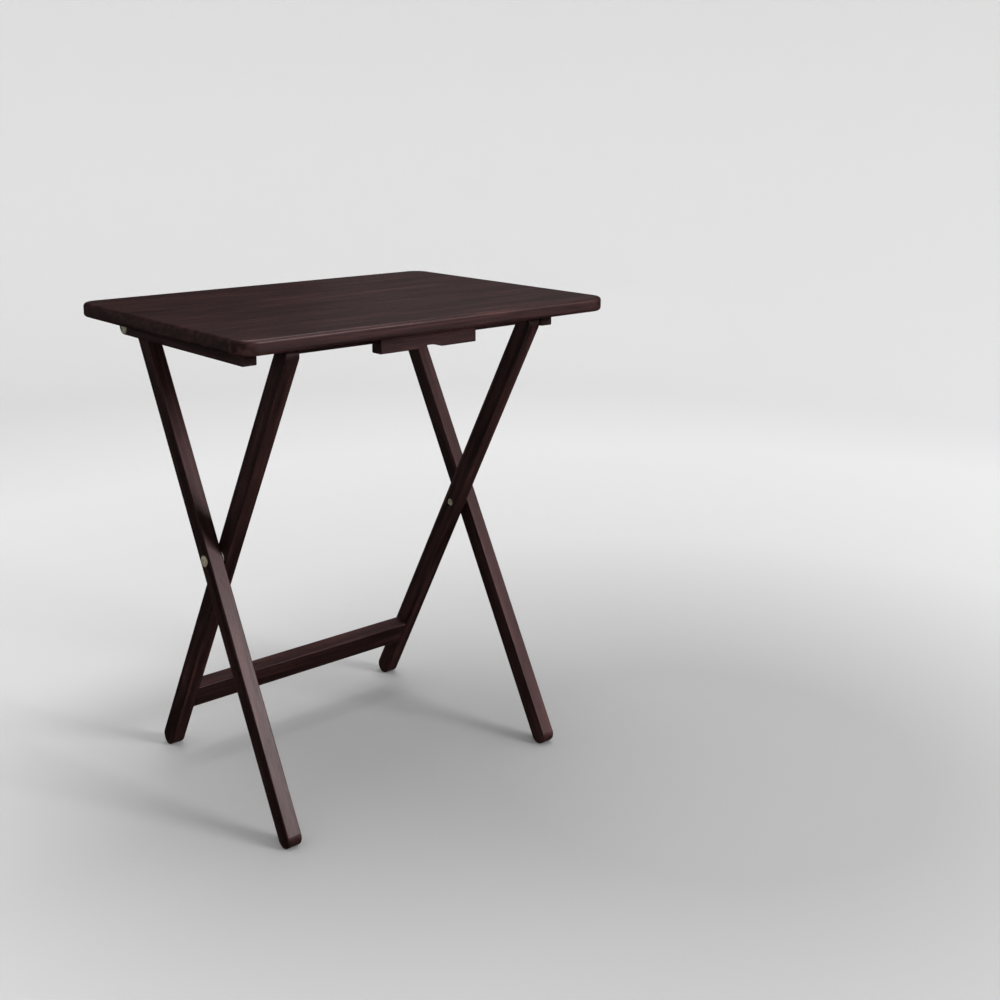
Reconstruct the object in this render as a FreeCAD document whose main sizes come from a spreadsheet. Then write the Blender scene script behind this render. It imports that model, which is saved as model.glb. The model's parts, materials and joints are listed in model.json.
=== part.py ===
import FreeCAD, Part
import math
import os
import re

import Sketcher
from FreeCAD import Placement, Rotation, Vector

# Folding wooden tray table, standing open.
#
# The top carries a cleat under each side and a catch block under its front edge.  Two
# frames cross like scissors.  The outer frame is two loose legs that hang from the
# cleats at the rear and stand on the floor at the front.  The inner frame is two legs
# joined by a top rod, which rests behind the catch block, and by a lower stretcher.
#
# Millimetres.  The origin is on the floor below the middle of the top: X runs to the
# right, Y to the rear and Z up.

SIZES = {
    # The top.
    "table_height": 648,
    "top_width": 578,
    "top_depth": 420,
    "top_thickness": 19,
    "top_corner_radius": 25,
    "top_edge_radius": 5,
    # The legs, and the places of the two pivots seen from the side.
    "leg_span": 452,
    "leg_width": 25,
    "leg_thickness": 20,
    "leg_edge_radius": 1.5,
    "leg_gap": 3,
    "scissor_height": 327,
    "scissor_rearward": 4,
    "pivot_rearward": 160,
    "pivot_drop": 15,
    # The cleats under the sides of the top.
    "cleat_gap": 1.6,
    "cleat_height": 24,
    "cleat_thickness": 20,
    "cleat_reach": 301,
    "cleat_tail": 14,
    "cleat_end_radius": 12,
    "cleat_edge_radius": 1.5,
    # The catch block under the front edge of the top.
    "catch_width": 151,
    "catch_height": 24,
    "catch_depth": 19,
    "catch_edge_radius": 1.5,
    "notch_width": 40,
    "notch_rise": 4,
    "stop_clearance": 0.3,
    # The two cross pieces of the inner frame.
    "rod_radius": 5,
    "rod_tenon": 12,
    "rod_above_centre": 6.5,
    "stretcher_height": 40,
    "stretcher_thickness": 19,
    "stretcher_rise": 88,
    "stretcher_setback": 0.5,
    "stretcher_edge_radius": 1.5,
    # Dowels in the ends of the stretcher.
    "dowel_radius": 4,
    "dowel_length": 30,
    "dowel_pitch": 16,
    # Pivot bolts with their nuts and washers.
    "bolt_radius": 3,
    "bolt_end_chamfer": 0.6,
    "head_radius": 7.5,
    "head_height": 3.6,
    "head_rim": 1.2,
    "socket_across": 4,
    "socket_depth": 2.2,
    "nut_across": 10,
    "nut_thickness": 5,
    "counterbore_radius": 6.5,
    "counterbore_depth": 6,
    "bolt_end_recess": 0.5,
    "scissor_washer_radius": 9,
    "pivot_washer_radius": 8,
    "running_gap": 0.3,
    "running_fit": 0.05,
    # Countersunk wood screws that hold the cleats and the catch block.
    "screw_radius": 2,
    "screw_head_radius": 4,
    "screw_bite": 12,
    "cleat_screw_inset": 34,
    "catch_screw_pitch": 104,
}

# Heights and distances that follow from the sizes.
UNDERSIDE = "(table_height - top_thickness)"
PIVOT_HEIGHT = f"({UNDERSIDE} - pivot_drop)"
LEAN = "(pivot_rearward - scissor_rearward)"
TILT = f"atan2({LEAN}; {PIVOT_HEIGHT} - scissor_height)"
PIVOT_REACH = f"sqrt({LEAN}^2 + ({PIVOT_HEIGHT} - scissor_height)^2)"
FOOT_REACH = f"((scissor_height - leg_width / 2) / cos({TILT}))"

# Faces of the legs and cleats on the right-hand side, outwards from the middle.
OUTER_LEG_OUTSIDE = "(leg_span / 2)"
OUTER_LEG_INSIDE = f"({OUTER_LEG_OUTSIDE} - leg_thickness)"
INNER_LEG_OUTSIDE = f"({OUTER_LEG_INSIDE} - leg_gap)"
INNER_LEG_INSIDE = f"({INNER_LEG_OUTSIDE} - leg_thickness)"
CLEAT_INSIDE = f"({OUTER_LEG_OUTSIDE} + cleat_gap)"
CLEAT_OUTSIDE = f"({CLEAT_INSIDE} + cleat_thickness)"

# The cleats and the catch block from front to rear.
CLEAT_FRONT = "(pivot_rearward - cleat_reach)"
CLEAT_REAR = "(pivot_rearward + cleat_tail)"
ROD_FRONT = (f"(2 * scissor_rearward - pivot_rearward"
             f" - rod_above_centre * sin({TILT}) - rod_radius)")
CATCH_REAR = f"({ROD_FRONT} - stop_clearance)"

# Places on the inner frame, in its own axes: Y towards the rear face, Z along the legs.
ROD_SPOT = ("0", f"({PIVOT_REACH} + rod_above_centre)")
STRETCHER_FRONT = "(stretcher_setback - leg_width / 2)"
STRETCHER_MIDDLE_Y = f"({STRETCHER_FRONT} + stretcher_thickness / 2)"
STRETCHER_MIDDLE_Z = f"(stretcher_rise - {FOOT_REACH})"

SIDES = {"left": -1, "right": 1}
LEFTWARD = Vector(-1, 0, 0)
RIGHTWARD = Vector(1, 0, 0)
UPWARD = Vector(0, 0, 1)
HALF_TURN = 180

doc = FreeCAD.newDocument("FoldingTrayTable")
sheet = doc.addObject("Spreadsheet::Sheet", "Sheet")


def fill_sheet():
    """Write every driving size into the sheet as a plain number with its name."""
    for row, (name, size) in enumerate(SIZES.items(), start=1):
        sheet.set(f"A{row}", name)
        sheet.set(f"B{row}", str(size))
        sheet.setAlias(f"B{row}", name)
    doc.recompute()


def sized(formula):
    """Turn the size names in a formula into references to the sheet."""
    return re.sub(r"\b[a-z]+(?:_[a-z]+)+\b", lambda name: "Sheet." + name.group(), str(formula))


def value(formula):
    """The number that a formula gives with the present sizes."""
    result = sheet.evalExpression(sized(formula))
    return float(getattr(result, "Value", result))


def bind(thing, settings):
    """Bind properties of one object to formulas on the sheet's sizes."""
    for prop, formula in settings.items():
        thing.setExpression(prop, sized(formula))


def place(thing, spot, axis=UPWARD, angle=0):
    """Put an object at a spot given by formulas, turned about an axis."""
    thing.Placement = Placement(Vector(), Rotation(axis, value(angle)))
    bind(thing, {f"Placement.Base.{letter}": formula for letter, formula in zip("xyz", spot)})
    if angle:
        bind(thing, {"Placement.Rotation.Angle": angle})


def new_body(label):
    """An empty body with the label that names its piece."""
    body = doc.addObject("PartDesign::Body", label)
    body.Label = label
    return body


def new_sketch(body, name, plane, offset="0"):
    """A sketch on one of the body's own origin planes, moved along the plane's normal."""
    sketch = body.newObject("Sketcher::SketchObject", name)
    origin_plane = next(f for f in body.Origin.OriginFeatures if f.Role == plane)
    sketch.AttachmentSupport = [(origin_plane, "")]
    sketch.MapMode = "FlatFace"
    bind(sketch, {"AttachmentOffset.Base.z": offset})
    return sketch


def dimension(sketch, name, formula, kind, *where):
    """Add one named dimension to a sketch and bind it to a formula."""
    index = sketch.addConstraint(Sketcher.Constraint(kind, *where, value(formula)))
    sketch.renameConstraint(index, name)
    bind(sketch, {f"Constraints.{name}": formula})


def rectangle(sketch, left, low, right, high):
    """Draw a rectangle between two corners given by formulas."""
    x_low, y_low, x_high, y_high = (value(f) for f in (left, low, right, high))
    corners = [Vector(x_low, y_low), Vector(x_high, y_low), Vector(x_high, y_high), Vector(x_low, y_high)]
    for index, corner in enumerate(corners):
        sketch.addGeometry(Part.LineSegment(corner, corners[(index + 1) % 4]))
    for index in range(4):
        sketch.addConstraint(Sketcher.Constraint("Coincident", index, 2, (index + 1) % 4, 1))
        sketch.addConstraint(Sketcher.Constraint("Vertical" if index % 2 else "Horizontal", index))
    dimension(sketch, "left", left, "DistanceX", -1, 1, 0, 1)
    dimension(sketch, "low", low, "DistanceY", -1, 1, 0, 1)
    dimension(sketch, "right", right, "DistanceX", -1, 1, 2, 1)
    dimension(sketch, "high", high, "DistanceY", -1, 1, 2, 1)


def slat_outline(sketch, top, bottom, radius):
    """Draw a straight slat with half-round ends, its end centres on the vertical axis."""
    top_y, bottom_y, size = value(top), value(bottom), value(radius)
    half_circle = math.pi
    sketch.addGeometry(Part.ArcOfCircle(Part.Circle(Vector(0, top_y), UPWARD, size), 0, half_circle))
    sketch.addGeometry(Part.LineSegment(Vector(-size, top_y), Vector(-size, bottom_y)))
    sketch.addGeometry(
        Part.ArcOfCircle(Part.Circle(Vector(0, bottom_y), UPWARD, size), half_circle, 2 * half_circle))
    sketch.addGeometry(Part.LineSegment(Vector(size, bottom_y), Vector(size, top_y)))
    for index in range(4):
        sketch.addConstraint(Sketcher.Constraint("Tangent", index, 2, (index + 1) % 4, 1))
    sketch.addConstraint(Sketcher.Constraint("Equal", 0, 2))
    sketch.addConstraint(Sketcher.Constraint("PointOnObject", 0, 3, -2))
    sketch.addConstraint(Sketcher.Constraint("PointOnObject", 2, 3, -2))
    dimension(sketch, "radius", radius, "Radius", 0)
    dimension(sketch, "top", top, "DistanceY", -1, 1, 0, 3)
    dimension(sketch, "bottom", bottom, "DistanceY", -1, 1, 2, 3)


def circles(sketch, spots, radius):
    """Draw equal circles at spots given by pairs of formulas."""
    for index, (across, up) in enumerate(spots):
        sketch.addGeometry(Part.Circle(Vector(value(across), value(up)), UPWARD, value(radius)))
        dimension(sketch, f"radius{index}", radius, "Radius", index)
        dimension(sketch, f"across{index}", across, "DistanceX", -1, 1, index, 3)
        dimension(sketch, f"up{index}", up, "DistanceY", -1, 1, index, 3)


def hexagon(sketch, across):
    """Draw a hexagon about the origin, given its width across the flats."""
    corner_radius = f"({across}) / 2 / cos(30 deg)"
    corners = [Vector(math.cos(math.radians(60 * k)), math.sin(math.radians(60 * k))) * value(corner_radius)
               for k in range(6)]
    for index, corner in enumerate(corners):
        sketch.addGeometry(Part.LineSegment(corner, corners[(index + 1) % 6]))
    ring = sketch.addGeometry(Part.Circle(Vector(), UPWARD, value(corner_radius)), True)
    sketch.addConstraint(Sketcher.Constraint("Coincident", ring, 3, -1, 1))
    for index in range(6):
        sketch.addConstraint(Sketcher.Constraint("Coincident", index, 2, (index + 1) % 6, 1))
        sketch.addConstraint(Sketcher.Constraint("PointOnObject", index, 1, ring))
    for index in range(1, 6):
        sketch.addConstraint(Sketcher.Constraint("Equal", 0, index))
    sketch.addConstraint(Sketcher.Constraint("PointOnObject", 0, 1, -1))
    dimension(sketch, "corner_radius", corner_radius, "Radius", ring)


def pad(body, sketch, length):
    """Pad a sketch along its normal."""
    feature = body.newObject("PartDesign::Pad", sketch.Name + "Pad")
    feature.Profile = sketch
    bind(feature, {"Length": length})
    sketch.Visibility = False
    doc.recompute()
    return feature


def pocket(body, sketch, depth, along_normal):
    """Cut a sketch into the body, along its normal or against it."""
    before = body.Tip.Shape.Volume
    feature = body.newObject("PartDesign::Pocket", sketch.Name + "Pocket")
    feature.Profile = sketch
    feature.Reversed = along_normal
    bind(feature, {"Length": depth})
    doc.recompute()
    if not feature.Shape.Volume < before:
        raise RuntimeError(f"{feature.Name} removes nothing")
    return feature


def drill(body, name, spots, radius, face, depth, outward):
    """Drill equal holes along X, from the plane X = face, to the right when outward."""
    sketch = new_sketch(body, body.Name + name, "YZ_Plane", face)
    circles(sketch, spots, radius)
    return pocket(body, sketch, depth, outward)


def round_edges(body, name, radius, wanted):
    """Round the edges of the body that the test picks."""
    doc.recompute()
    base = body.Tip
    picked = [f"Edge{number}" for number, edge in enumerate(base.Shape.Edges, start=1) if wanted(edge)]
    feature = body.newObject("PartDesign::Fillet", body.Name + name)
    feature.Base = (base, picked)
    bind(feature, {"Radius": radius})
    doc.recompute()
    return feature


def lies_on(edge, axis, levels):
    """Whether the whole edge lies on one of the planes axis = level."""
    box = edge.BoundBox
    low, high = getattr(box, axis + "Min"), getattr(box, axis + "Max")
    return any(abs(low - level) < 1e-4 and abs(high - level) < 1e-4 for level in levels)


def runs_along(edge, axis):
    """Whether the edge is straight and parallel to the named axis."""
    others = [other for other in "XYZ" if other != axis]
    return all(getattr(edge.BoundBox, other + "Length") < 1e-4 for other in others)


def slab_start(side, near, far):
    """The lower X face of a slab between near and far from the middle, on one side."""
    return near if side > 0 else f"-{far}"


def face_on(side, distance):
    """The X position of a face at a distance from the middle, on one side."""
    return distance if side > 0 else f"-{distance}"


def leg(label, side, near, far, tilt_axis):
    """One slat leg with half-round ends, leaning about the scissor pivot."""
    body = new_body(label)
    outline = new_sketch(body, label + "_outline", "YZ_Plane", slab_start(side, near, far))
    slat_outline(outline, PIVOT_REACH, f"-{FOOT_REACH}", "leg_width / 2")
    pad(body, outline, "leg_thickness")
    faces = [value(face_on(side, near)), value(face_on(side, far))]
    round_edges(body, "_eased", "leg_edge_radius", lambda edge: lies_on(edge, "X", faces))
    place(body, ("0", "scissor_rearward", "scissor_height"), tilt_axis, TILT)
    return body


def outer_leg(name, side):
    """A leg of the outer frame: bored at both pivots, with a recess for the pivot nut."""
    body = leg(f"outer_leg_{name}", side, OUTER_LEG_INSIDE, OUTER_LEG_OUTSIDE, LEFTWARD)
    inside = face_on(side, OUTER_LEG_INSIDE)
    pivots = [("0", "0"), ("0", PIVOT_REACH)]
    drill(body, "_bores", pivots, "bolt_radius + running_fit", inside, "leg_thickness", side > 0)
    drill(body, "_recess", pivots[1:], "counterbore_radius", inside, "counterbore_depth", side > 0)


def inner_leg(name, side):
    """A leg of the inner frame: bored at the scissor pivot, with dowel holes inside."""
    body = leg(f"inner_leg_{name}", side, INNER_LEG_INSIDE, INNER_LEG_OUTSIDE, RIGHTWARD)
    inside = face_on(side, INNER_LEG_INSIDE)
    scissor = [("0", "0")]
    drill(body, "_bore", scissor, "bolt_radius + running_fit", inside, "leg_thickness", side > 0)
    drill(body, "_recess", scissor, "counterbore_radius", inside, "counterbore_depth", side > 0)
    drill(body, "_rod_socket", [ROD_SPOT], "rod_radius", inside, "rod_tenon", side > 0)
    drill(body, "_dowel_holes", dowel_spots(), "dowel_radius", inside, "dowel_length / 2", side > 0)


def dowel_spots():
    """The two dowel centres at an end of the stretcher, one above the other."""
    return [(STRETCHER_MIDDLE_Y, f"{STRETCHER_MIDDLE_Z} {step} dowel_pitch / 2") for step in "-+"]


def inner_top_rod():
    """The round rod between the tops of the inner legs, let into both of them."""
    body = new_body("inner_top_rod")
    reach = f"({INNER_LEG_INSIDE} + rod_tenon)"
    section = new_sketch(body, "rod_section", "YZ_Plane", f"-{reach}")
    circles(section, [ROD_SPOT], "rod_radius")
    pad(body, section, f"2 * {reach}")
    place(body, ("0", "scissor_rearward", "scissor_height"), RIGHTWARD, TILT)


def lower_stretcher():
    """The flat stretcher between the inner legs, with dowel holes in both ends."""
    body = new_body("lower_stretcher")
    section = new_sketch(body, "stretcher_section", "YZ_Plane", f"-{INNER_LEG_INSIDE}")
    rectangle(section, STRETCHER_FRONT, f"{STRETCHER_MIDDLE_Z} - stretcher_height / 2",
              f"{STRETCHER_FRONT} + stretcher_thickness", f"{STRETCHER_MIDDLE_Z} + stretcher_height / 2")
    pad(body, section, f"2 * {INNER_LEG_INSIDE}")
    round_edges(body, "_eased", "stretcher_edge_radius", lambda edge: runs_along(edge, "X"))
    for name, side in SIDES.items():
        end = face_on(side, INNER_LEG_INSIDE)
        drill(body, f"_{name}_holes", dowel_spots(), "dowel_radius", end, "dowel_length / 2", side < 0)
    place(body, ("0", "scissor_rearward", "scissor_height"), RIGHTWARD, TILT)


def stretcher_dowels(name, side):
    """The two dowels at one end of the stretcher, half in it and half in the leg."""
    body = new_body(f"stretcher_dowels_{name}")
    body.AllowCompound = True
    middle = face_on(side, INNER_LEG_INSIDE)
    ends = new_sketch(body, f"dowel_ends_{name}", "YZ_Plane", f"{middle} - dowel_length / 2")
    circles(ends, dowel_spots(), "dowel_radius")
    pad(body, ends, "dowel_length")
    place(body, ("0", "scissor_rearward", "scissor_height"), RIGHTWARD, TILT)


def sink_screws(body, spots, low, through):
    """Cut a countersunk screw hole up through a block at each spot, from its low face."""
    for index, (across, rearward) in enumerate(spots):
        seat = body.newObject("PartDesign::SubtractiveCone", f"{body.Name}_countersink{index}")
        bind(seat, {"Radius1": "screw_head_radius", "Radius2": "screw_radius",
                    "Height": "screw_head_radius - screw_radius"})
        shaft = body.newObject("PartDesign::SubtractiveCylinder", f"{body.Name}_screw_hole{index}")
        bind(shaft, {"Radius": "screw_radius", "Height": through})
        for feature in (seat, shaft):
            bind(feature, {"Placement.Base.x": across, "Placement.Base.y": rearward, "Placement.Base.z": low})
    doc.recompute()


def screws(label, spots, low, length):
    """A row of countersunk wood screws, heads down, as separate solids in one piece."""
    shapes = []
    for index, (across, rearward) in enumerate(spots):
        head = doc.addObject("Part::Cone", f"{label}_head{index}")
        bind(head, {"Radius1": "screw_head_radius", "Radius2": "screw_radius",
                    "Height": "screw_head_radius - screw_radius"})
        shank = doc.addObject("Part::Cylinder", f"{label}_shank{index}")
        bind(shank, {"Radius": "screw_radius", "Height": length})
        for shape in (head, shank):
            place(shape, (across, rearward, low))
        shapes += [head, shank]
    group = doc.addObject("Part::MultiFuse", label)
    group.Shapes = shapes
    group.Label = label


def cleat_screw_spots(side):
    """Three screws along a cleat: near its front end, midway, and before the pivot."""
    across = face_on(side, f"({CLEAT_INSIDE} + cleat_thickness / 2)")
    front = f"({CLEAT_FRONT} + cleat_screw_inset)"
    rear = "(pivot_rearward - cleat_screw_inset)"
    return [(across, front), (across, f"({front} + {rear}) / 2"), (across, rear)]


def catch_screw_spots():
    """Two screws in the catch block, either side of its notch."""
    middle = f"({CATCH_REAR} - catch_depth / 2)"
    return [("-catch_screw_pitch / 2", middle), ("catch_screw_pitch / 2", middle)]


def table_top():
    """The top: rounded corners, softened edges and blind screw holes below."""
    body = new_body("table_top")
    outline = new_sketch(body, "top_outline", "XY_Plane", UNDERSIDE)
    rectangle(outline, "-top_width / 2", "-top_depth / 2", "top_width / 2", "top_depth / 2")
    pad(body, outline, "top_thickness")
    round_edges(body, "_corners", "top_corner_radius", lambda edge: runs_along(edge, "Z"))
    levels = [value(UNDERSIDE), value("table_height")]
    round_edges(body, "_edges", "top_edge_radius", lambda edge: lies_on(edge, "Z", levels))
    spots = cleat_screw_spots(-1) + cleat_screw_spots(1) + catch_screw_spots()
    for index, (across, rearward) in enumerate(spots):
        hole = body.newObject("PartDesign::SubtractiveCylinder", f"top_screw_hole{index}")
        bind(hole, {"Radius": "screw_radius", "Height": "screw_bite", "Placement.Base.x": across,
                    "Placement.Base.y": rearward, "Placement.Base.z": UNDERSIDE})
    doc.recompute()


def cleat(name, side):
    """A cleat under one side of the top: square in front, round at the pivot end."""
    body = new_body(f"cleat_{name}")
    start = slab_start(side, CLEAT_INSIDE, CLEAT_OUTSIDE)
    bottom = f"({UNDERSIDE} - cleat_height)"
    profile = new_sketch(body, f"cleat_{name}_profile", "YZ_Plane", start)
    rectangle(profile, CLEAT_FRONT, bottom, CLEAT_REAR, UNDERSIDE)
    pad(body, profile, "cleat_thickness")
    rear, low = value(CLEAT_REAR), value(bottom)
    round_edges(body, "_rear_corner", "cleat_end_radius",
                lambda edge: lies_on(edge, "Y", [rear]) and lies_on(edge, "Z", [low]))
    round_edges(body, "_eased", "cleat_edge_radius",
                lambda edge: lies_on(edge, "Z", [low]) and runs_along(edge, "Y"))
    drill(body, "_pivot_bore", [("pivot_rearward", PIVOT_HEIGHT)], "bolt_radius + running_fit",
          start, "cleat_thickness", True)
    sink_screws(body, cleat_screw_spots(side), bottom, "cleat_height")
    screws(f"cleat_screws_{name}", cleat_screw_spots(side), bottom, "cleat_height + screw_bite")


def catch_block():
    """The block that stops the inner frame, with a shallow finger notch below."""
    body = new_body("catch_block")
    bottom = f"({UNDERSIDE} - catch_height)"
    # The XZ plane's normal points to the front, so its offset is the distance forwards.
    profile = new_sketch(body, "catch_profile", "XZ_Plane", f"-{CATCH_REAR}")
    rectangle(profile, "-catch_width / 2", bottom, "catch_width / 2", UNDERSIDE)
    pad(body, profile, "catch_depth")
    low = value(bottom)
    round_edges(body, "_eased", "catch_edge_radius",
                lambda edge: lies_on(edge, "Z", [low]) and not runs_along(edge, "Y"))
    # A shallow arc of this radius is as wide as the notch where it leaves the block.
    notch_radius = "((notch_width / 2)^2 + notch_rise^2) / (2 * notch_rise)"
    notch = new_sketch(body, "catch_notch", "XZ_Plane", f"-{CATCH_REAR}")
    circles(notch, [("0", f"{bottom} + notch_rise - {notch_radius}")], notch_radius)
    pocket(body, notch, "catch_depth", True)
    sink_screws(body, catch_screw_spots(), bottom, "catch_height")
    screws("catch_screws", catch_screw_spots(), bottom, "catch_height + screw_bite")


def bolt(label, side, seat, end, rearward, up):
    """A domed bolt with a hexagon socket, its head outside and its shank inwards."""
    body = new_body(label)
    length, chamfer = f"({seat} - {end})", "bolt_end_chamfer"
    profile = new_sketch(body, label + "_profile", "XY_Plane")
    corners = [(f"-{length}", "0"), (f"-{length}", f"bolt_radius - {chamfer}"),
               (f"{chamfer} - {length}", "bolt_radius"), ("0", "bolt_radius"),
               ("0", "head_radius"), ("head_rim", "head_radius"), ("head_height", "0")]
    # The dome is an arc that is level at its crown and ends on the head's rim.
    rise = "(head_height - head_rim)"
    dome_radius = f"((head_radius^2 + {rise}^2) / (2 * {rise}))"
    points = [Vector(value(x), value(y)) for x, y in corners]
    for start, stop in zip(points[:-2], points[1:-1]):
        profile.addGeometry(Part.LineSegment(start, stop))
    centre = value(f"head_height - {dome_radius}")
    rim_angle = math.atan2(points[5].y, points[5].x - centre)
    dome = Part.Circle(Vector(centre, 0), UPWARD, value(dome_radius))
    arc = profile.addGeometry(Part.ArcOfCircle(dome, 0, rim_angle))
    axis_line = profile.addGeometry(Part.LineSegment(points[-1], points[0]))
    for index in range(4):
        profile.addConstraint(Sketcher.Constraint("Coincident", index, 2, index + 1, 1))
    profile.addConstraint(Sketcher.Constraint("Coincident", 4, 2, arc, 2))
    profile.addConstraint(Sketcher.Constraint("Coincident", arc, 1, axis_line, 1))
    profile.addConstraint(Sketcher.Constraint("Coincident", axis_line, 2, 0, 1))
    profile.addConstraint(Sketcher.Constraint("PointOnObject", arc, 3, -1))
    for index, (x, y) in enumerate(corners[:-2]):
        dimension(profile, f"x{index}", x, "DistanceX", -1, 1, index, 1)
        dimension(profile, f"y{index}", y, "DistanceY", -1, 1, index, 1)
    dimension(profile, "rim_x", "head_rim", "DistanceX", -1, 1, 4, 2)
    dimension(profile, "rim_y", "head_radius", "DistanceY", -1, 1, 4, 2)
    dimension(profile, "crown_x", "head_height", "DistanceX", -1, 1, arc, 1)
    dimension(profile, "crown_y", "0", "DistanceY", -1, 1, arc, 1)
    turned = body.newObject("PartDesign::Revolution", label + "_turned")
    turned.Profile = profile
    turned.ReferenceAxis = (profile, ["H_Axis"])
    turned.Angle = 360
    doc.recompute()
    socket = new_sketch(body, label + "_socket", "YZ_Plane", "head_height")
    hexagon(socket, "socket_across")
    pocket(body, socket, "socket_depth", False)
    place(body, (face_on(side, seat), rearward, up), UPWARD, 0 if side > 0 else HALF_TURN)


def nut(label, side, seat, rearward, up):
    """A hexagon nut on a bolt's end, its seat facing outwards."""
    body = new_body(label)
    outline = new_sketch(body, label + "_outline", "YZ_Plane", "-nut_thickness")
    hexagon(outline, "nut_across")
    pad(body, outline, "nut_thickness")
    drill(body, "_thread", [("0", "0")], "bolt_radius", "0", "nut_thickness", False)
    place(body, (face_on(side, seat), rearward, up), UPWARD, 0 if side > 0 else HALF_TURN)


def washer(label, side, start, thickness, radius, rearward, up):
    """A flat washer between two slats, reaching outwards from its start face."""
    body = new_body(label)
    outline = new_sketch(body, label + "_outline", "YZ_Plane")
    circles(outline, [("0", "0")], radius)
    pad(body, outline, thickness)
    drill(body, "_bore", [("0", "0")], "bolt_radius + running_fit", "0", thickness, True)
    place(body, (face_on(side, start), rearward, up), UPWARD, 0 if side > 0 else HALF_TURN)


def scissor_pivot(name, side):
    """Bolt, nut and washer where the legs cross; they turn with the inner frame."""
    spot = ("scissor_rearward", "scissor_height")
    bolt(f"scissor_bolt_{name}", side, f"({OUTER_LEG_OUTSIDE} + running_gap)",
         f"({INNER_LEG_INSIDE} + bolt_end_recess)", *spot)
    nut(f"scissor_nut_{name}", side, f"({INNER_LEG_INSIDE} + counterbore_depth)", *spot)
    washer(f"scissor_washer_{name}", side, INNER_LEG_OUTSIDE, "leg_gap - running_gap",
           "scissor_washer_radius", *spot)


def top_pivot(name, side):
    """Bolt, nut and washer where an outer leg hangs on a cleat; they turn with the top."""
    spot = ("pivot_rearward", PIVOT_HEIGHT)
    bolt(f"top_pivot_bolt_{name}", side, CLEAT_OUTSIDE, f"({OUTER_LEG_INSIDE} + bolt_end_recess)", *spot)
    nut(f"top_pivot_nut_{name}", side,
        f"({OUTER_LEG_INSIDE} + counterbore_depth - running_gap)", *spot)
    washer(f"top_pivot_washer_{name}", side, f"({OUTER_LEG_OUTSIDE} + running_gap)",
           "cleat_gap - running_gap", "pivot_washer_radius", *spot)


def build_table():
    """Make every piece of the table."""
    table_top()
    catch_block()
    inner_top_rod()
    lower_stretcher()
    for name, side in SIDES.items():
        cleat(name, side)
        outer_leg(name, side)
        inner_leg(name, side)
        stretcher_dowels(name, side)
        scissor_pivot(name, side)
        top_pivot(name, side)


def pieces():
    """The document objects that are pieces of the table."""
    return [thing for thing in doc.Objects if thing.TypeId in ("PartDesign::Body", "Part::MultiFuse")]


def write_pieces():
    """Check every object and write each piece to its own file."""
    doc.recompute()
    failed = [thing.Name for thing in doc.Objects if {"Invalid", "Error"} & set(thing.State)]
    if failed:
        raise RuntimeError(f"objects that failed: {failed}")
    for piece in pieces():
        if piece.Shape.isNull() or not piece.Shape.isValid():
            raise RuntimeError(f"{piece.Label} has no valid shape")
    os.makedirs("parts", exist_ok=True)
    for piece in pieces():
        piece.Shape.exportStep(f"parts/{piece.Label}.step")
        print(f"{piece.Label:26s} {piece.Shape.Volume / 1000:9.2f} cm3, {len(piece.Shape.Solids)} solid(s)")


fill_sheet()
build_table()
write_pieces()
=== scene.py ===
import json
import math

import bpy
import numpy as np
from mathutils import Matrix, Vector


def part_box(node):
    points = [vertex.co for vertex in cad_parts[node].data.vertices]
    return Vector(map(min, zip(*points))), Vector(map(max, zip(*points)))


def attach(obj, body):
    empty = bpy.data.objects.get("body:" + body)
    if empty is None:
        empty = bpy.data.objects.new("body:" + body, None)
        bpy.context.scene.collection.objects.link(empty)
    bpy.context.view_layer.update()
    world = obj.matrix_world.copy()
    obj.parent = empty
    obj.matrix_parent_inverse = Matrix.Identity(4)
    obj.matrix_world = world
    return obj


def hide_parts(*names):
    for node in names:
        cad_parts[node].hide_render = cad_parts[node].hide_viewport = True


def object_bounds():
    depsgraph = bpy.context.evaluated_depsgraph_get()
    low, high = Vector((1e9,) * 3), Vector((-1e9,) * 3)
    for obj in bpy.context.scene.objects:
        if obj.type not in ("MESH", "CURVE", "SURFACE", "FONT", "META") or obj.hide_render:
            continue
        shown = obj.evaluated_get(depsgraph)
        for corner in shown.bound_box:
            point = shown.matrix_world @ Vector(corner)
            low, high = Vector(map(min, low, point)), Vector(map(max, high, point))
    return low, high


# Looks of the folding tray table: espresso-stained, lacquered wood on crossed slat legs,
# with zinc plated bolts and nylon washers.  Metres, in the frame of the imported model: X to
# the right, Y to the rear, Z up, the origin on the floor below the middle of the top.

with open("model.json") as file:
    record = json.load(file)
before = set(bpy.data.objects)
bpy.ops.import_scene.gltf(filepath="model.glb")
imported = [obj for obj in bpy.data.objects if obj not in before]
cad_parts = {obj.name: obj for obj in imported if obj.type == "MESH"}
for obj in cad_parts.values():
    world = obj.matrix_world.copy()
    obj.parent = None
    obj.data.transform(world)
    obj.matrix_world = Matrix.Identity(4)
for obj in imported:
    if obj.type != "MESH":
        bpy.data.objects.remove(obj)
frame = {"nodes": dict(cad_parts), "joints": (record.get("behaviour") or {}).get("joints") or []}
cad_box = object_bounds()

MM = 0.001
SIDES = ("left", "right")

joints = {joint["name"]: joint for joint in frame["joints"]}
SCISSOR = Vector(joints["leg_fold"]["pos_m"])
REAR_PIVOT = Vector(joints["top_hinge"]["pos_m"])
LEG_TILT = math.atan2(REAR_PIVOT.y - SCISSOR.y, REAR_PIVOT.z - SCISSOR.z)


# ---- Materials -------------------------------------------------------------------------


def colour(hex_code):
    """An sRGB hex colour as linear RGBA."""
    channels = [int(hex_code[start:start + 2], 16) / 255 for start in (1, 3, 5)]
    linear = [c / 12.92 if c <= 0.04045 else ((c + 0.055) / 1.055) ** 2.4 for c in channels]
    return (*linear, 1.0)


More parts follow.
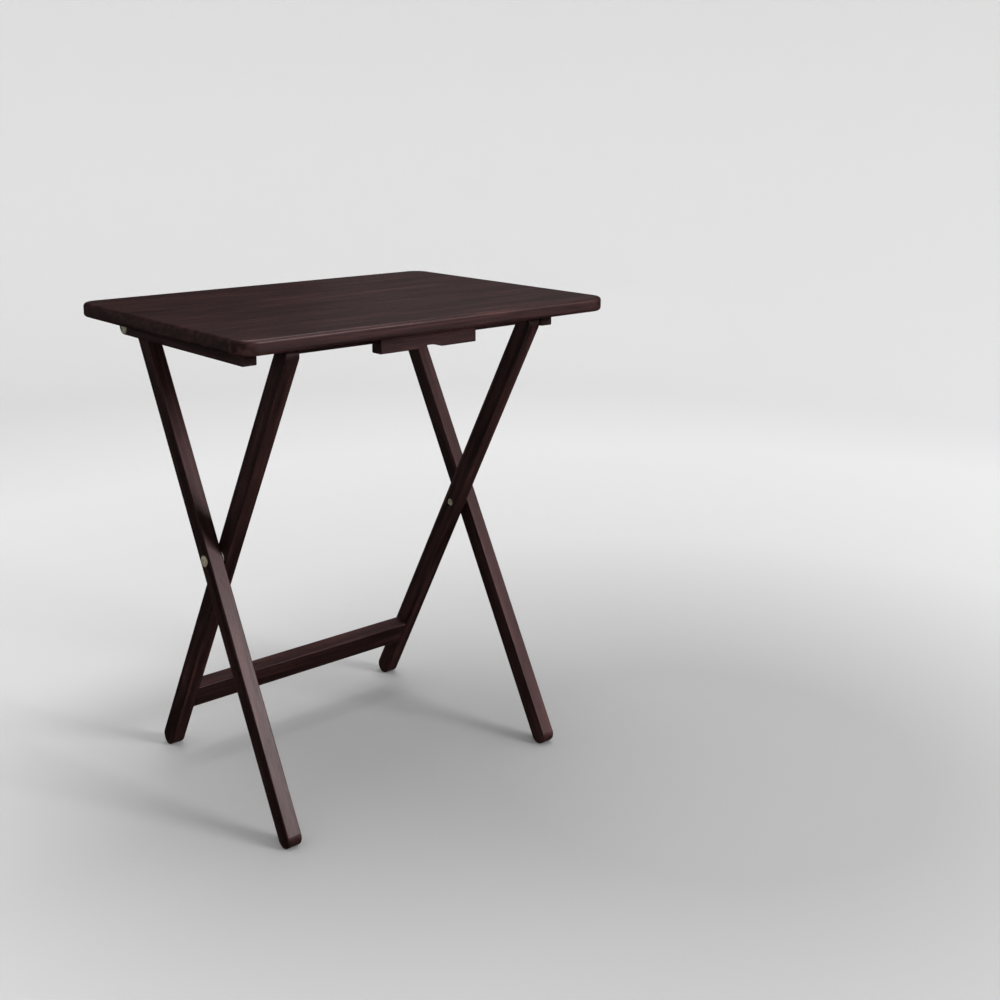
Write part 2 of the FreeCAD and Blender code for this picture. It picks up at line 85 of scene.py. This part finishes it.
def add(tree, kind, settings=(), **links):
    """Add one node: settings go to its properties or sockets, links join outputs to its sockets."""
    node = tree.nodes.new(kind)
    for name, setting in dict(settings).items():
        if name in node.inputs:
            node.inputs[name].default_value = setting
        else:
            setattr(node, name, setting)
    for name, source in links.items():
        key = int(name[1:]) if name[0] == "_" else name.replace("_", " ")
        tree.links.new(source, node.inputs[key])
    return node


def new_material(name):
    """An empty node material with its output node."""
    material = bpy.data.materials.new(name)
    material.use_nodes = True
    material.node_tree.nodes.clear()
    return material, material.node_tree


def finish_material(tree, shader):
    """Join the shader to the material's output."""
    add(tree, "ShaderNodeOutputMaterial", Surface=shader.outputs["BSDF"])


def ramp(tree, factor, stops):
    """A colour ramp over the factor, through (position, hex colour or grey level) stops."""
    node = add(tree, "ShaderNodeValToRGB", Fac=factor)
    elements = node.color_ramp.elements
    while len(elements) < len(stops):
        elements.new(0.5)
    for element, (position, shade) in zip(elements, stops):
        element.position = position
        element.color = colour(shade) if isinstance(shade, str) else (shade, shade, shade, 1)
    return node.outputs["Color"]


def along_grain(tree, turn, cell, shift=0.0):
    """Object coordinates turned so that X follows the grain, in cells of the given size in mm."""
    place = add(tree, "ShaderNodeTexCoord").outputs["Object"]
    turned = add(tree, "ShaderNodeMapping",
                 {"vector_type": "TEXTURE", "Rotation": turn, "Location": (shift,) * 3}, Vector=place)
    turned.inputs["Scale"].default_value = [size * MM for size in cell]
    return turned.outputs["Vector"]


def mixed(tree, factor, first, second, blend="MIX"):
    """Mix two colours by a factor, a number or a socket."""
    node = add(tree, "ShaderNodeMix", {"data_type": "RGBA", "blend_type": blend})
    for index, source in ((0, factor), (6, first), (7, second)):
        if isinstance(source, bpy.types.NodeSocket):
            tree.links.new(source, node.inputs[index])
        else:
            node.inputs[index].default_value = source
    return node.outputs[2]


def maths(tree, operation, first, second):
    """One arithmetic step on two values, each a number or a socket."""
    node = add(tree, "ShaderNodeMath", {"operation": operation})
    for index, source in enumerate((first, second)):
        if isinstance(source, bpy.types.NodeSocket):
            tree.links.new(source, node.inputs[index])
        else:
            node.inputs[index].default_value = source
    return node.outputs[0]


GRAIN_ALONG_X = (0.0, 0.0, 0.0)
GRAIN_ALONG_Y = (0.0, 0.0, math.radians(90))
GRAIN_OF_OUTER_LEG = (0.0, LEG_TILT - math.radians(90), math.radians(90))
GRAIN_OF_INNER_LEG = (0.0, LEG_TILT - math.radians(90), math.radians(-90))


def stained_wood(name, turn, shift):
    """Rubberwood, planed and sanded, wiped with an espresso stain and sprayed with satin
    lacquer: near-black red-brown, with fine long fibres that took the stain unevenly, short
    dark pores filled by it, and a thin coat that follows them and softens every highlight."""
    material, tree = new_material(name)
    # Heartwood and sapwood drift: patches about 180 mm long and 30 mm wide.
    drift = add(tree, "ShaderNodeTexNoise", {"Scale": 1.0, "Detail": 3.0, "Roughness": 0.5},
                Vector=along_grain(tree, turn, (180, 30, 30), shift)).outputs["Fac"]
    # Growth rings show as streaks about 7 mm wide that wander along the board.
    rings = add(tree, "ShaderNodeTexNoise",
                {"Scale": 1.0, "Detail": 4.0, "Roughness": 0.6, "Distortion": 0.4},
                Vector=along_grain(tree, turn, (160, 7, 7), shift)).outputs["Fac"]
    # Fibres are 0.1 mm wide: drawn 1.3 mm wide, the finest that the render shows.
    fibres = add(tree, "ShaderNodeTexNoise", {"Scale": 1.0, "Detail": 3.0, "Roughness": 0.65},
                 Vector=along_grain(tree, turn, (55, 1.3, 1.3), shift)).outputs["Fac"]
    # Pores are 0.2 mm by 2 mm dashes: drawn 1.1 mm by 14 mm so that they show.
    pores = add(tree, "ShaderNodeTexVoronoi", {"Scale": 1.0, "Randomness": 1.0},
                Vector=along_grain(tree, turn, (14, 1.1, 1.1), shift)).outputs["Distance"]
    pore_depth = ramp(tree, pores, [(0.0, 0.0), (0.16, 0.35), (0.3, 1.0)])
    stain = ramp(tree, rings, [(0.3, WOOD_DARK), (0.5, WOOD_MIDDLE), (0.72, WOOD_LIGHT)])
    fibre_tone = ramp(tree, fibres, [(0.28, 0.36), (0.5, 0.6), (0.74, 0.96)])
    streaked = mixed(tree, 0.7, stain, fibre_tone, "OVERLAY")
    drift_tone = ramp(tree, drift, [(0.3, 0.4), (0.7, 0.62)])
    toned = mixed(tree, 0.5, streaked, drift_tone, "OVERLAY")
    pored = mixed(tree, 0.45, toned, pore_depth, "MULTIPLY")
    height = maths(tree, "ADD", maths(tree, "MULTIPLY", fibres, 0.6), pore_depth)
    relief = add(tree, "ShaderNodeBump", {"Strength": 0.4, "Distance": 0.12 * MM}, Height=height)
    # The lacquer sinks into the pores, which stay dull in the sheen.
    gloss = ramp(tree, fibres, [(0.25, 0.40), (0.75, 0.66)])
    sheen = mixed(tree, pore_depth, (*[DULL_PORE] * 3, 1.0), gloss)
    # The stain also tints the lacquer, so the sheen is a little red.
    shader = add(tree, "ShaderNodeBsdfPrincipled",
                 {"IOR": 1.5, "Specular Tint": colour("#F0BEC2"), "Coat Weight": 0.1,
                  "Coat Roughness": 0.24, "Coat IOR": 1.5},
                 Base_Color=pored, Roughness=sheen, Normal=relief.outputs["Normal"])
    finish_material(tree, shader)
    return material


def plated_steel(name, bright, dull):
    """Steel, cold formed, zinc plated and passivated: the chalky film of old plating hides
    about half of the metal, so it looks pale from every side, with a soft sheen, clouds where
    the film is thin and fine scuffs from the spanner."""
    material, tree = new_material(name)
    place = add(tree, "ShaderNodeTexCoord").outputs["Object"]
    # The passivate clouds over 3 mm; the scuffs are about 0.3 mm wide.
    cloud = add(tree, "ShaderNodeTexNoise", {"Scale": 330.0, "Detail": 3.0},
                Vector=place).outputs["Fac"]
    scuffs = add(tree, "ShaderNodeTexNoise", {"Scale": 3300.0, "Detail": 2.0},
                 Vector=place).outputs["Fac"]
    tint = ramp(tree, cloud, [(0.35, dull), (0.65, bright)])
    dullness = ramp(tree, scuffs, [(0.3, 0.32), (0.7, 0.52)])
    relief = add(tree, "ShaderNodeBump", {"Strength": 0.15, "Distance": 0.05 * MM}, Height=scuffs)
    shader = add(tree, "ShaderNodeBsdfPrincipled", {"Metallic": METAL_LEFT_BARE},
                 Base_Color=tint, Roughness=dullness, Normal=relief.outputs["Normal"])
    finish_material(tree, shader)
    return material


def moulded_nylon(name):
    """Natural nylon, injection moulded: milky off-white, matt, with a faint flow mottle."""
    material, tree = new_material(name)
    place = add(tree, "ShaderNodeTexCoord").outputs["Object"]
    # The mottle is about 2 mm across and the mould's spark-eroded grain 0.4 mm.
    mottle = add(tree, "ShaderNodeTexNoise", {"Scale": 500.0, "Detail": 2.0},
                 Vector=place).outputs["Fac"]
    grain = add(tree, "ShaderNodeTexNoise", {"Scale": 2500.0, "Detail": 1.0},
                Vector=place).outputs["Fac"]
    relief = add(tree, "ShaderNodeBump", {"Strength": 0.2, "Distance": 0.03 * MM}, Height=grain)
    milky = ramp(tree, mottle, [(0.3, "#CFCABB"), (0.7, "#E4E0D4")])
    dullness = ramp(tree, grain, [(0.3, 0.45), (0.7, 0.6)])
    shader = add(tree, "ShaderNodeBsdfPrincipled",
                 {"IOR": 1.53, "Subsurface Weight": 0.1, "Subsurface Scale": 1.0 * MM},
                 Base_Color=milky, Roughness=dullness, Normal=relief.outputs["Normal"])
    finish_material(tree, shader)
    return material


def turned_beech(name):
    """Beech dowel, turned and left raw: pale tan with short brown ray flecks, matt."""
    material, tree = new_material(name)
    fibres = add(tree, "ShaderNodeTexNoise", {"Scale": 1.0, "Detail": 3.0},
                 Vector=along_grain(tree, GRAIN_ALONG_X, (20, 0.8, 0.8))).outputs["Fac"]
    # Ray flecks are 0.3 mm by 3 mm.
    flecks = add(tree, "ShaderNodeTexVoronoi", {"Scale": 1.0},
                 Vector=along_grain(tree, GRAIN_ALONG_X, (3, 0.5, 0.5))).outputs["Distance"]
    wood = ramp(tree, fibres, [(0.3, "#A9835A"), (0.7, "#CDA87C")])
    flecked = mixed(tree, 0.4, wood, ramp(tree, flecks, [(0.0, 0.45), (0.25, 1.0)]), "MULTIPLY")
    dullness = ramp(tree, fibres, [(0.3, 0.6), (0.7, 0.75)])
    relief = add(tree, "ShaderNodeBump", {"Strength": 0.3, "Distance": 0.1 * MM}, Height=fibres)
    shader = add(tree, "ShaderNodeBsdfPrincipled", {"IOR": 1.5},
                 Base_Color=flecked, Roughness=dullness, Normal=relief.outputs["Normal"])
    finish_material(tree, shader)
    return material


def paint(node_name, material):
    """Give a CAD node its material."""
    slots = frame["nodes"][node_name].data.materials
    slots.clear()
    slots.append(material)


DULL_PORE = 0.85
METAL_LEFT_BARE = 0.55
WOOD_DARK = "#130A09"
WOOD_MIDDLE = "#231412"
WOOD_LIGHT = "#3A2220"

zinc = plated_steel("yellow_zinc_plated_steel", "#D8D0B4", "#A09A84")
bare_zinc = plated_steel("clear_zinc_plated_steel", "#B9BABC", "#8C8D90")
nylon = moulded_nylon("natural_nylon")
beech = turned_beech("turned_beech")

wooden_pieces = {
    "table_top": GRAIN_ALONG_X, "catch_block": GRAIN_ALONG_X,
    "lower_stretcher": GRAIN_ALONG_X, "inner_top_rod": GRAIN_ALONG_X,
    "cleat_left": GRAIN_ALONG_Y, "cleat_right": GRAIN_ALONG_Y,
    "outer_leg_left": GRAIN_OF_OUTER_LEG, "outer_leg_right": GRAIN_OF_OUTER_LEG,
    "inner_leg_left": GRAIN_OF_INNER_LEG, "inner_leg_right": GRAIN_OF_INNER_LEG}
# Each piece is cut from another part of the plank: its pattern starts this far along, in metres.
PLANK_STEP = 1.7
for index, (node_name, turn) in enumerate(wooden_pieces.items()):
    paint(node_name, stained_wood(f"espresso_lacquered_{node_name}", turn, PLANK_STEP * index))
for side in SIDES:
    for pivot in ("scissor", "top_pivot"):
        paint(f"{pivot}_bolt_{side}", zinc)
        paint(f"{pivot}_nut_{side}", zinc)
        paint(f"{pivot}_washer_{side}", nylon)
    paint(f"cleat_screws_{side}", bare_zinc)
    paint(f"stretcher_dowels_{side}", beech)
paint("catch_screws", bare_zinc)


# ---- Turned and threaded pieces ----------------------------------------------------------

AROUND = 72
ANGLE = np.linspace(0, 2 * math.pi, AROUND, endpoint=False)[None]
ROWS_PER_PITCH = 8
SHARP_EDGE = math.radians(32)


def polygon_radius(across, sides):
    """Distance from the middle to the rim of a regular polygon, given its width across the
    flats: half the width, divided by the cosine of the angle from the nearest flat's middle."""
    step = 2 * math.pi / sides
    return across / 2 / np.cos((ANGLE + step / 2) % step - step / 2)


def cross_radius(length, width):
    """Distance from the middle to the rim of a cross recess: the farther rim of two crossed
    bars, where a bar's rim is the nearer of its end and its side."""
    along = np.maximum(np.abs(np.cos(ANGLE)), 1e-6)
    across = np.maximum(np.abs(np.sin(ANGLE)), 1e-6)
    level = np.minimum(length / 2 / along, width / 2 / across)
    upright = np.minimum(length / 2 / across, width / 2 / along)
    return np.maximum(level, upright)


def thread(low, high, radius, depth, pitch):
    """Stations of a rolled thread: the radius dips by the thread's depth once per pitch, as a
    triangle wave of the height less the share of a turn, and the dip fades out at both ends."""
    stations = []
    for height in np.linspace(low, high, round((high - low) / pitch * ROWS_PER_PITCH)):
        wave = np.abs(2 * ((height / pitch - ANGLE / (2 * math.pi)) % 1) - 1)
        fade = np.clip(min(height - low, high - height) / pitch, 0, 1)
        stations.append((radius - depth * fade * wave, height))
    return stations


def arc(radius, height, size, start, stop, count):
    """Stations on a circular arc about a point of the half section; its angles are degrees
    from straight outwards towards straight up."""
    turn = np.radians(np.linspace(start, stop, count))
    return [(radius + size * math.cos(a), height + size * math.sin(a)) for a in turn]


def turned_piece(name, profile, places, body, material, closed):
    """A surface carried round an axis: every (radius, height) station of the half section, in
    mm, is a ring whose radius is a number or one number per angle.  The section runs from the
    low end outwards and up; a closed one joins its ends, an open one closes in two points.
    Each placing function makes one copy, from metres about the axis to the model's frame."""
    radius = np.concatenate([np.broadcast_to(station[0], (1, AROUND)) for station in profile])
    height = np.concatenate([np.broadcast_to(station[1], (1, AROUND)) for station in profile])
    rows = len(radius)
    points = np.stack([radius * np.cos(ANGLE), radius * np.sin(ANGLE), height], axis=-1).reshape(-1, 3)
    row = np.arange(rows if closed else rows - 1)[:, None] * AROUND
    above = (row + AROUND) % (rows * AROUND)
    step = np.arange(AROUND)[None]
    beside = (step + 1) % AROUND
    faces = np.stack([row + step, row + beside, above + beside, above + step], axis=-1)
    faces = faces.reshape(-1, 4).tolist()
    if not closed:
        low, high = len(points), len(points) + 1
        last = (rows - 1) * AROUND
        points = np.concatenate([points, [[0, 0, height[0, 0]], [0, 0, height[-1, 0]]]])
        faces += [[low, (k + 1) % AROUND, k] for k in range(AROUND)]
        faces += [[high, last + k, last + (k + 1) % AROUND] for k in range(AROUND)]
    copies = np.concatenate([place(points * MM) for place in places])
    starts = range(0, len(copies), len(points))
    mesh = bpy.data.meshes.new(name)
    all_faces = [[start + corner for corner in face] for start in starts for face in faces]
    mesh.from_pydata(copies.tolist(), [], all_faces)
    mesh.shade_smooth()
    mesh.set_sharp_from_angle(angle=SHARP_EDGE)
    mesh.materials.append(material)
    piece = bpy.data.objects.new(name, mesh)
    bpy.context.scene.collection.objects.link(piece)
    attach(piece, body)
    return piece


def outwards_from(node_name, side, seat):
    """A placing function: height runs along X away from the middle, starting at the seat, and
    the axis is the middle of the CAD node's box."""
    low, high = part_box(node_name)
    centre = (low + high) / 2
    sign = 1 if side == "right" else -1

    def place(points):
        """Turn (across, across, height) into (X, Y, Z), which keeps the faces outwards."""
        return np.stack([sign * (seat + points[:, 2]), centre.y + sign * points[:, 0],
                         centre.z + points[:, 1]], axis=-1)
    return place


def reach_of(node_name):
    """Nearest and farthest distance of a CAD node from the middle plane."""
    low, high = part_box(node_name)
    return sorted((abs(low.x), abs(high.x)))


# Sizes of the turned pieces in mm.
AXIS_RING = 0.02
EDGE_RINGS = 5
BOLT_RADIUS = 3.0
BOLT_TIP_LENGTH = 0.6
BOLT_TIP_TAPER = 0.7
BOLT_HEAD_RADIUS = 7.5
BOLT_HEAD_HEIGHT = 3.6
BOLT_HEAD_RIM = 1.2
BOLT_HEAD_EASE = 0.3
DOME_RINGS = 10
DOME_END_SHARE = 0.42
FINE_EASE = 0.15
NECK_FLARE = 0.1
SOCKET_ACROSS = 4.0
SOCKET_DEPTH = 2.2
SOCKET_DRILL_DEPTH = 0.4
THREAD_LENGTH = 14.0
THREAD_RUN_OUT = 0.5
THREAD_DEPTH = 0.45
THREAD_PITCH = 1.0
NUT_ACROSS = 10.0
NUT_THICKNESS = 5.0
NUT_EASE = 0.3
NUT_RINGS = 21
NUT_CONE_START = 0.25
NUT_CONE_SLOPE = 1.7
NUT_COUNTERSINK = 0.5
WASHER_PLAY = 0.05
WASHER_EASE = 0.22


def furniture_bolt(pivot, side, body):
    """A furniture bolt: threaded shank, low domed head with an eased rim, hexagon socket with a
    drilled bottom.  The dome is an arc that is level at the crown and ends on the rim."""
    node_name = f"{pivot}_bolt_{side}"
    inner_end, crown = reach_of(node_name)
    seat = crown - BOLT_HEAD_HEIGHT * MM
    shank = (seat - inner_end) / MM
    rise = BOLT_HEAD_HEIGHT - BOLT_HEAD_RIM
    dome = (BOLT_HEAD_RADIUS ** 2 + rise ** 2) / (2 * rise)
    edge = math.degrees(math.atan2(dome - rise, BOLT_HEAD_RADIUS))
    socket = polygon_radius(SOCKET_ACROSS, 6)
    mouth = BOLT_HEAD_HEIGHT - dome + np.sqrt(dome ** 2 - (socket + FINE_EASE) ** 2)
    floor = BOLT_HEAD_HEIGHT - SOCKET_DEPTH
    eased = BOLT_HEAD_RADIUS - BOLT_HEAD_EASE
    dome_end = math.degrees(math.acos(DOME_END_SHARE * BOLT_HEAD_RADIUS / dome))
    profile = [(AXIS_RING, -shank), (BOLT_RADIUS - BOLT_TIP_TAPER, -shank),
               (BOLT_RADIUS - FINE_EASE, BOLT_TIP_LENGTH - shank)]
    profile += thread(BOLT_TIP_LENGTH - shank, THREAD_LENGTH - shank, BOLT_RADIUS,
                      THREAD_DEPTH, THREAD_PITCH)
    profile += [(BOLT_RADIUS, THREAD_LENGTH + THREAD_RUN_OUT - shank), (BOLT_RADIUS, -NECK_FLARE),
                (BOLT_RADIUS + NECK_FLARE, 0.0)]
    profile += arc(eased, BOLT_HEAD_EASE, BOLT_HEAD_EASE, -90, 0, EDGE_RINGS)
    # The rim's rounding stops 20 degrees short of the dome's slope, and the dome starts 2 above.
    profile += arc(eased, BOLT_HEAD_RIM - 0.2, BOLT_HEAD_EASE, 0, edge - 20, EDGE_RINGS)
    profile += arc(0, BOLT_HEAD_HEIGHT - dome, dome, edge + 2, dome_end, DOME_RINGS)
    profile += [(socket + FINE_EASE, mouth), (socket, mouth - FINE_EASE), (socket, floor),
                (0.9 * socket, floor), (AXIS_RING, floor - SOCKET_DRILL_DEPTH)]
    bolt = turned_piece(f"domed_bolt_{pivot}_{side}", profile, [outwards_from(node_name, side, seat)],
                        body, zinc, closed=False)
    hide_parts(node_name)


def hexagon_nut(pivot, side, body):
    """A pressed nut: the rim is the smaller of a hexagon and a cone, which rounds off the
    corners at both faces, and the bore is countersunk at both ends."""
    node_name = f"{pivot}_nut_{side}"
    seat = reach_of(node_name)[0]
    hexagon = polygon_radius(NUT_ACROSS, 6)
    corner = NUT_ACROSS / 2 / math.cos(math.pi / 6)
    flat_face = NUT_ACROSS / 2 - NUT_EASE
    mouth = BOLT_RADIUS + NUT_COUNTERSINK
    profile = [(mouth, 0.0), (flat_face, 0.0)]
    for height in np.linspace(0, NUT_THICKNESS, NUT_RINGS):
        cone = flat_face + NUT_CONE_START + NUT_CONE_SLOPE * min(height, NUT_THICKNESS - height)
        profile.append((np.minimum(hexagon, min(cone, corner)), height))
    profile += [(flat_face, NUT_THICKNESS), (mouth, NUT_THICKNESS),
                (BOLT_RADIUS, NUT_THICKNESS - NUT_COUNTERSINK), (BOLT_RADIUS, NUT_COUNTERSINK)]
    nut = turned_piece(f"hexagon_nut_{pivot}_{side}", profile, [outwards_from(node_name, side, seat)],
                       body, zinc, closed=True)
    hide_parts(node_name)


def flat_washer(pivot, side, body):
    """A moulded washer: a ring with a rectangular section whose four edges are quarter arcs."""
    node_name = f"{pivot}_washer_{side}"
    near, far = reach_of(node_name)
    low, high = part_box(node_name)
    upper = (far - near) / MM - WASHER_EASE
    outer = (high.z - low.z) / 2 / MM - WASHER_EASE
    inner = BOLT_RADIUS + WASHER_PLAY + WASHER_EASE
    profile = []
    for radius, height, start in ((outer, WASHER_EASE, -90), (outer, upper, 0),
                                  (inner, upper, 90), (inner, WASHER_EASE, 180)):
        profile += arc(radius, height, WASHER_EASE, start, start + 90, EDGE_RINGS)
    washer = turned_piece(f"flat_washer_{pivot}_{side}", profile, [outwards_from(node_name, side, near)],
                          body, nylon, closed=True)
    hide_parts(node_name)


SCREW_RADIUS = 2.0
SCREW_HEAD_RADIUS = 4.0
SCREW_THREAD_DEPTH = 0.6
SCREW_THREAD_PITCH = 1.6
SCREW_HEAD_EASE = 0.1
SCREW_NECK_SHARE = 0.35
SCREW_THREAD_END_SHARE = 0.85
CROSS_LENGTH = 4.4
CROSS_WIDTH = 1.0
CROSS_DEPTH = 1.9
# The recess tapers to these shares of its length and width.
CROSS_LENGTH_SHARE = 0.55
CROSS_WIDTH_SHARE = 0.6


def upwards_from(x, y, z):
    """A placing function: height runs straight up from the given point."""
    return lambda points: points + np.array([x, y, z])


def wood_screws(name, node_name, count):
    """Countersunk wood screws, driven up from below in an even row along the CAD node's box:
    a flat head with a tapered cross recess, a cone, a plain neck, a coarse thread and a point
    where the thread's rim runs straight in to the axis."""
    low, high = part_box(node_name)
    length = (high.z - low.z) / MM
    reach = Vector((SCREW_HEAD_RADIUS * MM, SCREW_HEAD_RADIUS * MM, 0.0))
    first, last = low + reach, high - reach
    places = [upwards_from(*first.lerp(last, index / (count - 1)).xy, low.z) for index in range(count)]
    mouth = cross_radius(CROSS_LENGTH, CROSS_WIDTH)
    floor = cross_radius(CROSS_LENGTH_SHARE * CROSS_LENGTH, CROSS_WIDTH_SHARE * CROSS_WIDTH)
    neck = SCREW_NECK_SHARE * length
    profile = [(AXIS_RING / 2, CROSS_DEPTH + 2 * SCREW_HEAD_EASE), (floor, CROSS_DEPTH)]
    profile += [(mouth, SCREW_HEAD_EASE), (mouth + SCREW_HEAD_EASE, 0.0)]
    profile += [(SCREW_HEAD_RADIUS - 2 * SCREW_HEAD_EASE, 0.0),
                (SCREW_HEAD_RADIUS - SCREW_HEAD_EASE, SCREW_HEAD_EASE)]
    profile += [(SCREW_RADIUS, SCREW_HEAD_RADIUS - SCREW_RADIUS), (SCREW_RADIUS, neck)]
    profile += thread(neck + 0.2, SCREW_THREAD_END_SHARE * length, SCREW_RADIUS,
                      SCREW_THREAD_DEPTH, SCREW_THREAD_PITCH)
    profile += [(AXIS_RING, length)]
    screws = turned_piece(name, profile, places, "tray_top", bare_zinc, closed=False)
    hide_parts(node_name)


for side in SIDES:
    wood_screws(f"countersunk_screws_{side}", f"cleat_screws_{side}", 3)
wood_screws("countersunk_screws_catch", "catch_screws", 2)

for side in SIDES:
    for pivot, body in (("scissor", "inner_frame"), ("top_pivot", "tray_top")):
        furniture_bolt(pivot, side, body)
        hexagon_nut(pivot, side, body)
        flat_washer(pivot, side, body)


# ---- Studio ----------------------------------------------------------------------------


BOWL_RADIUS = 5.0
BOWL_COVE = 2.4
BOWL_HEIGHT = 3.4
# The middle of the painted shade on the floor in front of the table: the plaster's grey is darkest here
# and paler farther out.
PAINTED_SHADE_MIDDLE = (0.35, -0.35, 0.0)


def studio_bowl(radius, cove, height, around=96, rings=40):
    """A pale round floor that sweeps up into a wall: the profile runs out along the floor,
    turns up by a quarter circle of the cove's radius and rises straight, and is spun about Z."""
    reach = np.linspace(0, 1, rings)
    flat = np.linspace(0.02, radius - cove, rings)
    bend = reach * math.pi / 2
    out = np.concatenate([flat, radius - cove + cove * np.sin(bend)[1:], np.full(3, radius)])
    up = np.concatenate([0 * flat, cove * (1 - np.cos(bend))[1:], np.linspace(cove, height, 4)[1:]])
    angle = np.linspace(0, 2 * math.pi, around, endpoint=False)
    points = np.stack([np.outer(out, np.cos(angle)), np.outer(out, np.sin(angle)),
                       np.repeat(up[:, None], around, 1)], axis=-1).reshape(-1, 3)
    row = np.arange(len(out) - 1)[:, None] * around
    step = np.arange(around)[None]
    following = (step + 1) % around
    faces = np.stack([row + step, row + following, row + around + following, row + around + step],
                     axis=-1).reshape(-1, 4)
    mesh = bpy.data.meshes.new("studio_bowl")
    mesh.from_pydata(points.tolist(), [], faces.tolist() + [list(range(around))[::-1]])
    mesh.shade_smooth()
    return bpy.data.objects.new("studio_bowl", mesh)


def painted_plaster(name):
    """Sealed plaster, rolled with matt paint: mid grey as painted shade on the floor in front of the
    table, and paler all round and up the wall as painted light."""
    material, tree = new_material(name)
    place = add(tree, "ShaderNodeTexCoord").outputs["Object"]
    # The distance from the painted shade's middle sets the grey: painted shade near the table, painted
    # light farther out and up the wall.
    distance_from_painted_shade = add(tree, "ShaderNodeVectorMath", {"operation": "DISTANCE"}, _0=place)
    distance_from_painted_shade.inputs[1].default_value = PAINTED_SHADE_MIDDLE
    share = maths(tree, "DIVIDE", distance_from_painted_shade.outputs["Value"], BOWL_RADIUS)
    shader = add(tree, "ShaderNodeBsdfPrincipled", {"IOR": 1.45, "Roughness": 0.8},
                 Base_Color=ramp(tree, share, [(0.06, "#989898"), (0.2, "#BEBEBE"), (0.36, "#D0D0D0"),
                                               (0.9, "#D8D8D8")]))
    finish_material(tree, shader)
    return material


def soft_box(name, spot, target, width, watts):
    """A square area light at a spot, aimed at a target."""
    lamp = bpy.data.lights.new(name, "AREA")
    lamp.size = width
    lamp.energy = watts
    thing = bpy.data.objects.new(name, lamp)
    thing.location = spot
    thing.rotation_euler = (Vector(target) - Vector(spot)).to_track_quat("-Z", "Y").to_euler()
    bpy.context.scene.collection.objects.link(thing)


bowl = studio_bowl(BOWL_RADIUS, BOWL_COVE, BOWL_HEIGHT)
bowl.data.materials.append(painted_plaster("matt_white_plaster"))
bpy.context.scene.collection.objects.link(bowl)
# The pale room is kept out of the lacquer's reflections, as black cards do in a studio.
bowl.visible_glossy = False

middle = (cad_box[0] + cad_box[1]) / 2
# Each light: its place from the table's middle, its width and its power.
for name, offset, width, watts in (("key_light", (1.87, -4.00, 1.84), 1.3, 150),
                                   ("top_light", (0.5, 0.1, 2.6), 1.8, 40),
                                   ("rear_card", (2.4, 2.4, 0.8), 1.4, 0.8),
                                   ("left_rear_card", (-1.9, 2.0, 0.5), 1.4, 1.2)):
    soft_box(name, middle + Vector(offset), middle, width, watts)

world = bpy.data.worlds.new("studio_air")
world.use_nodes = True
air = world.node_tree.nodes["Background"]
air.inputs["Color"].default_value = colour("#F7F7F7")
air.inputs["Strength"].default_value = 1.05
bpy.context.scene.world = world
world.cycles_visibility.glossy = False
bpy.context.scene.view_settings.view_transform = "Standard"

# The camera stands at the table's front left, looks down a little and frames it off centre.
LOOKS_DOWN = 10.88
LOOKS_RIGHT = 40.08
camera_lens = bpy.data.cameras.new("camera")
camera_lens.lens = 46.98
camera_lens.shift_x = 0.04
camera_lens.shift_y = -0.13
camera = bpy.data.objects.new("camera", camera_lens)
camera.location = (-1.00735, -1.43492, 0.88606)
camera.rotation_euler = (math.radians(90 - LOOKS_DOWN), 0.0, math.radians(-LOOKS_RIGHT))
bpy.context.scene.collection.objects.link(camera)
bpy.context.scene.camera = camera
